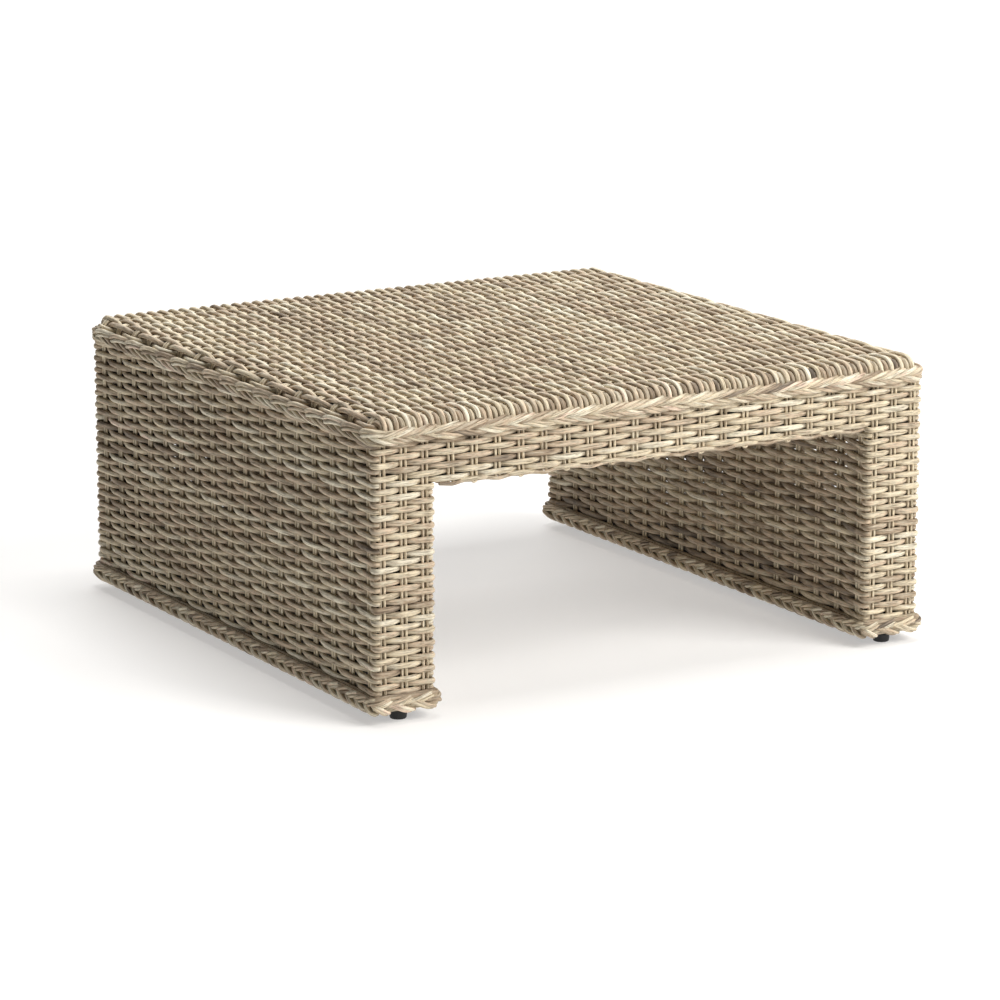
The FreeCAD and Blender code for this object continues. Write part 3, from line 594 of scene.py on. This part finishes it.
# ---------------------------------------------------------------- stakes
b = Bundle("side_and_top_stakes")
for y0 in SIDE_Y:
    for e in (-1, 1):
        up = [(-MID - PROUD, 22.0)] + [(-MID - PROUD, z) for z in np.arange(40, 400, 18.0)]
        arc = [(-ROLL_C - (ROLL_MID + PROUD) * math.cos(t), ROLL_Z + (ROLL_MID + PROUD) * math.sin(t)) for t in np.radians([0, 22, 45, 68])]
        flat = [(x, TOP_Z + PROUD) for x in np.linspace(-ROLL_C, ROLL_C, 49)]
        xz = up + arc + flat + [(-x, z) for x, z in arc[::-1]] + [(-x, z) for x, z in up[::-1]]
        xz = np.array(xz)
        n = len(xz)
        p = np.stack([xz[:, 0], np.full(n, y0 + e * PAIR), xz[:, 1]], 1)
        p[:, 1] += 0.5 * smooth_noise(rng, 1700, 60, n)
        b.strand(p, R_STAKE, (0, 1, 0), rng)
b.build(MAT_STAKE, "table", "wicker_stake", ["top_stakes", "left_leg_stakes", "right_leg_stakes"])

for side, sx in (("left", -1), ("right", 1)):
    b = Bundle(f"{side}_leg_rods")
    for y0 in SIDE_Y:                       # the inner wall
        for e in (-1, 1):
            z = np.linspace(22, 384, 22)
            p = np.stack([np.full(22, sx * (INNER - PROUD)), y0 + e * PAIR + 0.5 * smooth_noise(rng, 360, 60, 22), z], 1)
            b.strand(p, R_STAKE, (0, 1, 0), rng)
    for x0 in LEG_X:
        for sy in (-1, 1):
            for e in (-1, 1):
                z = np.linspace(22, 411, 24)
                p = np.stack([sx * x0 + e * PAIR + 0.5 * smooth_noise(rng, 360, 60, 24), np.full(24, sy * (MID + PROUD)), z], 1)
                b.strand(p, R_STAKE, (1, 0, 0), rng)
    b.build(MAT_STAKE, "table", "wicker_stake", [f"{side}_leg_stakes"])

for end, sy in (("front", -1), ("rear", 1)):
    b = Bundle(f"{end}_apron_rods")
    for x0 in APRON_X:                      # a hairpin round the lowest strand
        down = [(-PAIR, z) for z in np.arange(410, 334, -8.0)]
        turn = [(-PAIR * math.cos(t), 329.6 - 3.1 * math.sin(t)) for t in np.radians(np.linspace(0, 180, 9))]
        pts = np.array(down + turn + [(PAIR, z) for z in np.arange(338, 411, 8.0)])
        n = len(pts)
        p = np.stack([x0 + pts[:, 0] + 0.4 * smooth_noise(rng, 160, 40, n), np.full(n, sy * MID), pts[:, 1]], 1)
        low = np.clip((338 - p[:, 2]) / 10, 0, 1)
        p[:, 1] += sy * (PROUD + 0.6 * low)
        b.strand(p, R_STAKE, (0, 1, 0), rng)
    b.build(MAT_STAKE, "table", "wicker_stake", [f"{end}_apron_stakes"])


# ---------------------------------------------------------------- plaited borders
class Ring:
    """A way round a rectangle with rounded corners, counter-clockwise from above, from the front left corner."""

    def __init__(self, cx, hx, hy, corner, mean):
        self.cx, self.hx, self.hy, self.c = cx, hx, hy, corner
        self.arc = math.pi / 2 * (corner + mean)
        a, b = 2 * (hx - corner), 2 * (hy - corner)
        self.len = [a, self.arc, b, self.arc, a, self.arc, b, self.arc]
        self.start = np.concatenate([[0], np.cumsum(self.len)])
        self.total = self.start[-1]

    def s_of(self, edge, v):
        """The distance along the ring of coordinate v (x on the front or rear, y on the sides)."""
        h = (self.hx if edge in (0, 2) else self.hy) - self.c
        v = v - self.cx if edge in (0, 2) else v
        k = {0: v + h, 1: v + h, 2: h - v, 3: h - v}[edge]
        return self.start[2 * edge] + k

    def at(self, s, n, z):
        s = np.mod(np.asarray(s, float), self.total)
        n = np.broadcast_to(np.asarray(n, float), s.shape)
        z = np.broadcast_to(np.asarray(z, float), s.shape)
        out = np.zeros(s.shape + (3,))
        ref = np.zeros(s.shape + (3,))
        hx, hy, c = self.hx, self.hy, self.c
        corners = [(hx - c, -hy + c), (hx - c, hy - c), (-hx + c, hy - c), (-hx + c, -hy + c)]
        dirs = [(1, 0), (0, 1), (-1, 0), (0, -1)]
        norm = [(0, -1), (1, 0), (0, 1), (-1, 0)]
        org = [(-hx + c, -hy), (hx, -hy + c), (hx - c, hy), (-hx, hy - c)]
        for k in range(4):
            a, b2 = self.start[2 * k], self.start[2 * k + 1]
            w = (s >= a) & (s < b2)
            t = s[w] - a
            out[w, 0] = self.cx + org[k][0] + dirs[k][0] * t + norm[k][0] * n[w]
            out[w, 1] = org[k][1] + dirs[k][1] * t + norm[k][1] * n[w]
            a, b2 = self.start[2 * k + 1], self.start[2 * k + 2]
            w = (s >= a) & (s <= b2)
            ang = (s[w] - a) / self.arc * math.pi / 2 - math.pi / 2 + k * math.pi / 2
            out[w, 0] = self.cx + corners[k][0] + (c + n[w]) * np.cos(ang)
            out[w, 1] = corners[k][1] + (c + n[w]) * np.sin(ang)
        out[..., 2] = z
        return out


def stations(ring, front_x, side_y):
    s = [ring.s_of(0, x) for x in front_x] + [ring.s_of(1, y) for y in side_y]
    s += [ring.s_of(2, x) for x in front_x[::-1]] + [ring.s_of(3, y) for y in side_y[::-1]]
    return np.array(s)


ring = Ring(0, HALF, HALF, 18.0, 3.2)
st = stations(ring, FRONT_X, SIDE_Y)
gaps = np.diff(np.concatenate([st, [st[0] + ring.total]]))
upper, lower, core = Bundle("top_border_upper"), Bundle("top_border_lower"), Bundle("top_border_core")
n_edge = [25, 17, 25, 17]
def plait_strand(bundle, ring, s_a, length, zs, ns, radius, rng, zlift=0.0):
    """A strand along the ring: zs and ns are heights and offsets at even steps along it."""
    m = max(12, int(length / 3.2))
    t = np.linspace(0, 1, m)
    kt = np.linspace(0, 1, len(zs))
    z = np.interp(t, kt, zs) + zlift
    n = np.interp(t, kt, ns)
    for _ in range(3):                      # round the corners of the two profiles
        z[1:-1] = (z[:-2] + 2 * z[1:-1] + z[2:]) / 4
        n[1:-1] = (n[:-2] + 2 * n[1:-1] + n[2:]) / 4
    pts = ring.at(s_a + length * t, n, z)
    r = radius * (1 + 0.05 * smooth_noise(rng, length, 25, m) + rng.uniform(-0.04, 0.04))
    # painted shade: deep darkens the strand where it turns in under its neighbours
    bundle.strand(pts, r, (0, 0, 1), rng, deep=np.clip((3.0 - n) / 3.0, 0, 1) * 0.9)


for k, (s0, p) in enumerate(zip(st, gaps)):
    p = float(min(p, 54))
    side_run = 25 <= k % 84 < 42 or k % 84 >= 67
    jit = rng.uniform(-1.2, 1.2)
    if side_run:
        # a rope of two-strand humps along the top, over steep strands that go down to the lower edge
        ln = 1.62 * p * rng.uniform(0.97, 1.03)
        ns = [-3.5, 2.0, 4.4, 4.7, 3.2, -1.0, -4.0]
        plait_strand(upper, ring, s0 - 0.40 * p + jit, ln, [403.4, 407.0, 410.9, 412.6, 411.9, 409.6, 406.5], ns, 3.3, rng, zlift=1.4)
        plait_strand(upper, ring, s0 - 0.36 * p + jit, ln, [402.4, 405.0, 408.6, 411.0, 411.4, 409.4, 406.0], ns, 3.2, rng, zlift=-2.9)
        ln = 1.35 * p * rng.uniform(0.96, 1.04)
        zs = [407.2, 405.2, 401.6, 397.8, 394.9, 394.0]
        ns = [-1.5, 1.8, 3.3, 3.2, 2.4, -1.5]
        for h in (0.0, 0.5):
            plait_strand(lower, ring, s0 + (h - 0.30) * p + jit, ln, zs, ns, 3.0, rng)
        continue
    # upper bundle: from the middle up to the top edge, and in under the top
    ln = 1.55 * p * rng.uniform(0.96, 1.05)
    zs = [401.4, 403.2, 406.2, 409.6, 412.2, 412.6]
    ns = [-1.0, 1.8, 3.5, 3.7, 2.5, -4.5]
    plait_strand(upper, ring, s0 - 0.34 * p + jit, ln, zs, ns, 2.95, rng, zlift=0.9)
    plait_strand(upper, ring, s0 - 0.04 * p + jit, ln * 1.02, zs, [x - 0.1 for x in ns], 2.9, rng, zlift=-0.6)
    # lower bundle: from the middle down to the bottom edge, turning up a little at its end
    ln = 1.50 * p * rng.uniform(0.95, 1.05)
    zs = [405.4, 402.8, 399.6, 396.8, 395.2, 396.6]
    ns = [-1.0, 1.7, 3.1, 3.1, 2.1, -2.0]
    plait_strand(lower, ring, s0 - 0.24 * p + jit, ln, zs, ns, 2.85, rng, zlift=-0.6)
    plait_strand(lower, ring, s0 + 0.06 * p + jit, ln * 0.98, zs, [x + 0.2 for x in ns], 2.8, rng, zlift=1.0)
# the core strands carry the full painted shade, as they lie in the shade under the plait
for z, n0, rad in ((397.5, -0.6, 3.0), (404.0, -0.2, 3.2), (410.2, -1.0, 2.8)):
    s = np.linspace(0, ring.total, 700, endpoint=False)
    core.strand(ring.at(s, n0 + 0.3 * smooth_noise(rng, 3600, 50, 700, True), z + 0.3 * smooth_noise(rng, 3600, 50, 700, True)),
                rad, (0, 0, 1), rng, closed=True, deep=np.full(700, 1.0))
# two hidden strands that the top bends over
for n0, z, rad in ((-11.5, 415.6, 3.6), (-18.5, 417.0, 3.4)):
    s = np.linspace(0, ring.total, 500, endpoint=False)
    core.strand(ring.at(s, n0, z), rad, (0, 0, 1), rng, closed=True, deep=np.full(500, 1.0))
for bb in (upper, lower, core):
    bb.build(MAT_BRAID, "table", "wicker_braid", ["top_border_braid"])

for side, sx in (("left", -1), ("right", 1)):
    cx = sx * (HALF + 361.6) / 2
    ring = Ring(cx, (HALF - 361.6) / 2, HALF, 6.0, 4.0)
    fx = sorted(sx * x for x in LEG_X)
    st = stations(ring, fx, SIDE_Y)
    gaps = np.diff(np.concatenate([st, [st[0] + ring.total]]))
    upper, lower = Bundle(f"{side}_base_plait_upper"), Bundle(f"{side}_base_plait_lower")
    for k, (s0, p) in enumerate(zip(st, gaps)):
        p = float(min(p, 54))
        on_side = 3 <= k < 20 or k >= 23
        q = p / 2 if on_side else p
        for h in range(2 if on_side else 1):
            a = s0 + h * q + rng.uniform(-1.0, 1.0)
            ln = (1.65 if on_side else 1.5) * q * rng.uniform(0.95, 1.06)
            zs = [25.6, 28.4, 31.6, 34.6, 36.6, 36.8]
            ns = [0.4, 4.4, 6.2, 6.0, 3.8, -3.0]
            plait_strand(upper, ring, a - 0.16 * q, ln, zs, ns, 2.65, rng, zlift=0.8)
            plait_strand(upper, ring, a - 0.02 * q, ln * 0.97, zs, [x - 0.2 for x in ns], 2.6, rng, zlift=-3.3)
            ln = (1.55 if on_side else 1.45) * q * rng.uniform(0.95, 1.05)
            # steep ends that turn in under the edge one after the other, so the lower edge is toothed
            zs = [31.6, 29.0, 25.2, 21.0, 17.6, 16.2]
            ns = [0.4, 4.4, 6.5, 7.0, 5.4, 0.6]
            ln = (1.22 if on_side else 1.3) * q * rng.uniform(0.96, 1.04)
            plait_strand(lower, ring, a - 0.12 * q, ln, zs, ns, 2.75, rng, zlift=-0.2)
            plait_strand(lower, ring, a + 0.09 * q, ln * 0.98, zs, [x + 0.1 for x in ns], 2.7, rng, zlift=0.9)
    core = Bundle(f"{side}_base_plait_core")
    # the core strands carry the full painted shade, as they lie in the shade under the plait
    for z, n0, rad in ((21.5, 0.8, 3.2), (27.5, 1.2, 3.4), (33.5, 0.8, 3.4), (36.9, 2.0, 3.0), (38.8, -2.4, 3.0), (19.5, -6.0, 3.4), (26.5, -7.0, 3.4), (33.5, -7.0, 3.4)):
        s = np.linspace(0, ring.total, 460, endpoint=False)
        core.strand(ring.at(s, max(n0, -5.5), z), rad, (0, 0, 1), rng, closed=True, deep=np.full(460, 1.0))
    for bb in (upper, lower, core):
        bb.build(MAT_BRAID, "table", "wicker_braid", [f"{side}_bottom_braid"])


# ---------------------------------------------------------------- feet
def revolve(name, profile, centre, material, body, nodes, segs=40):
    verts, faces = [], []
    m = len(profile)
    for k in range(segs):
        a = 2 * math.pi * k / segs
        for r, z in profile:
            verts.append(((centre[0] + r * math.cos(a)) * MM, (centre[1] + r * math.sin(a)) * MM, z * MM))
    for k in range(segs):
        k2 = (k + 1) % segs
        for i in range(m - 1):
            faces.append((k * m + i, k2 * m + i, k2 * m + i + 1, k * m + i + 1))
        faces.append((k * m + m - 1, k2 * m + m - 1, k2 * m, k * m))
    me = bpy.data.meshes.new(name)
    me.from_pydata(verts, [], faces)
    me.update()
    me.validate()
    for poly in me.polygons:
        poly.use_smooth = True
    o = bpy.data.objects.new(name, me)
    bpy.context.scene.collection.objects.link(o)
    me.materials.append(material)
    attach(o, body)
    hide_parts(*nodes)
    return o


def rounded(pts, radius, n=4):
    """A closed profile with its corners rounded."""
    out = []
    m = len(pts)
    for i in range(m):
        a, b, c = np.array(pts[i - 1], float), np.array(pts[i], float), np.array(pts[(i + 1) % m], float)
        r = radius[i]
        if r <= 0:
            out.append(tuple(b))
            continue
        u, w = (a - b) / np.linalg.norm(a - b), (c - b) / np.linalg.norm(c - b)
        r = min(r, 0.45 * np.linalg.norm(a - b), 0.45 * np.linalg.norm(c - b))
        for t in np.linspace(0, 1, n + 1):
            out.append(tuple((1 - t) ** 2 * (b + u * r) + 2 * t * (1 - t) * b + t ** 2 * (b + w * r)))
    return out


CX, CY = 409.3, 432.0
for end, sy in (("front", -1), ("rear", 1)):
    for side, sx in (("left", -1), ("right", 1)):
        node = f"foot_pad_{end}_{side}"
        lo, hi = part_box(node)
        r = (hi.x - lo.x) / 2 / MM
        z0, z1 = lo.z / MM, hi.z / MM
        prof = rounded([(4.6, z0 + 7.5), (7.6, z0 + 7.5), (7.6, z0 + 2.9), (0.4, z0 + 2.9), (0.4, z0), (r - 0.9, z0), (r, z0 + 5), (r, z1), (4.6, z1)],
                       [0, 0, 0, 0, 0, 1.6, 2.0, 1.4, 0.6])
        revolve(f"glide_pad_{end}_{side}", prof, (sx * CX, sy * CY), MAT_PAD, f"foot_pad_{end}_{side}", [node])

# ---------------------------------------------------------------- the CAD nodes that stay
def set_material(o, m):
    if not o.data.materials:
        o.data.materials.append(m)
    for i in range(len(o.data.materials)):
        o.data.materials[i] = m


for name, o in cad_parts.items():
    if name.startswith("foot_stud"):
        set_material(o, MAT_STUD)
    elif name.startswith("insert"):
        set_material(o, MAT_INSERT)
    elif name.endswith(("_post", "_rail", "_bar")) or name.startswith(("top_rail", "top_bearer", "leg_bearer", "apron_rail", "apron_upper_rail")):
        set_material(o, MAT_FRAME)

# ---------------------------------------------------------------- floor, light, camera
KEY, OVERHEAD, BACK, SKY, GLOW = 360.0, 262.0, 1300.0, 0.03, 0.45
def floor_material():
    m = bpy.data.materials.new("pale_floor")
    m.use_nodes = True
    nt = m.node_tree
    bs = nt.nodes["Principled BSDF"]
    tc = nt.nodes.new("ShaderNodeTexCoord")
    n1 = nt.nodes.new("ShaderNodeTexNoise")
    n1.inputs["Scale"].default_value = 0.5
    nt.links.new(tc.outputs["Object"], n1.inputs["Vector"])
    col = ramp(nt, [(0.3, lin((196, 195, 193))), (0.7, lin((200, 199, 197)))])
    nt.links.new(n1.outputs[0], col.inputs[0])
    nt.links.new(col.outputs[0], bs.inputs["Base Color"])
    bs.inputs["Roughness"].default_value = 0.8
    bs.inputs["Specular IOR Level"].default_value = 0.2
    bs.inputs["Emission Color"].default_value = (1.0, 0.985, 0.975, 1)
    bs.inputs["Emission Strength"].default_value = GLOW
    return m


me = bpy.data.meshes.new("floor")
S = 30.0
me.from_pydata([(-S, -S, 0), (S, -S, 0), (S, S, 0), (-S, S, 0)], [], [(0, 1, 2, 3)])
me.update()
floor = bpy.data.objects.new("floor", me)
bpy.context.scene.collection.objects.link(floor)
me.materials.append(floor_material())

# a plain pale surround far off, so that a low view doesn't look past the floor's edge; it lights nothing
N_WALL = 72
wall = [(29.5 * math.cos(2 * math.pi * i / N_WALL), 29.5 * math.sin(2 * math.pi * i / N_WALL)) for i in range(N_WALL)]
wm = bpy.data.meshes.new("surround")
wm.from_pydata([(x, y, -0.2) for x, y in wall] + [(x, y, 14.0) for x, y in wall], [],
               [(i, (i + 1) % N_WALL, N_WALL + (i + 1) % N_WALL, N_WALL + i) for i in range(N_WALL)])
wm.update()
wm.materials.append(me.materials[0])
surround = bpy.data.objects.new("surround", wm)
bpy.context.scene.collection.objects.link(surround)
surround.visible_diffuse = surround.visible_glossy = surround.visible_shadow = surround.visible_transmission = False


def area(name, loc, target, size, power, color=(1, 1, 1)):
    l = bpy.data.lights.new(name, "AREA")
    l.shape = "RECTANGLE"
    l.size, l.size_y = size
    l.energy = power
    l.color = color
    o = bpy.data.objects.new(name, l)
    bpy.context.scene.collection.objects.link(o)
    o.location = loc
    d = Vector(target) - Vector(loc)
    o.rotation_euler = d.to_track_quat("-Z", "Y").to_euler()
    return o


area("key", (2.6, -4.0, 3.6), (0, 0, 0.2), (3.2, 3.2), KEY, (1.0, 0.985, 0.965))
area("overhead", (0.5, 0.2, 6.0), (0.5, 0.2, 0), (3.0, 3.0), OVERHEAD)
area("far_floor", (4.0, 11.0, 7.0), (4.0, 11.0, 0), (9.0, 9.0), BACK)

w = bpy.data.worlds.new("studio")
bpy.context.scene.world = w
w.use_nodes = True
w.node_tree.nodes["Background"].inputs[0].default_value = (0.98, 0.985, 1.0, 1)
w.node_tree.nodes["Background"].inputs[1].default_value = SKY

cam = bpy.data.cameras.new("camera")
cam.lens = 143.48
cam.sensor_width = 36
cam.clip_end = 100
co = bpy.data.objects.new("camera", cam)
bpy.context.scene.collection.objects.link(co)
co.location = (-2.9637, -5.0917, 1.535)
co.rotation_euler = (1.34402, 0, -0.528)
bpy.context.scene.camera = co
bpy.context.scene.view_settings.view_transform = "Standard"
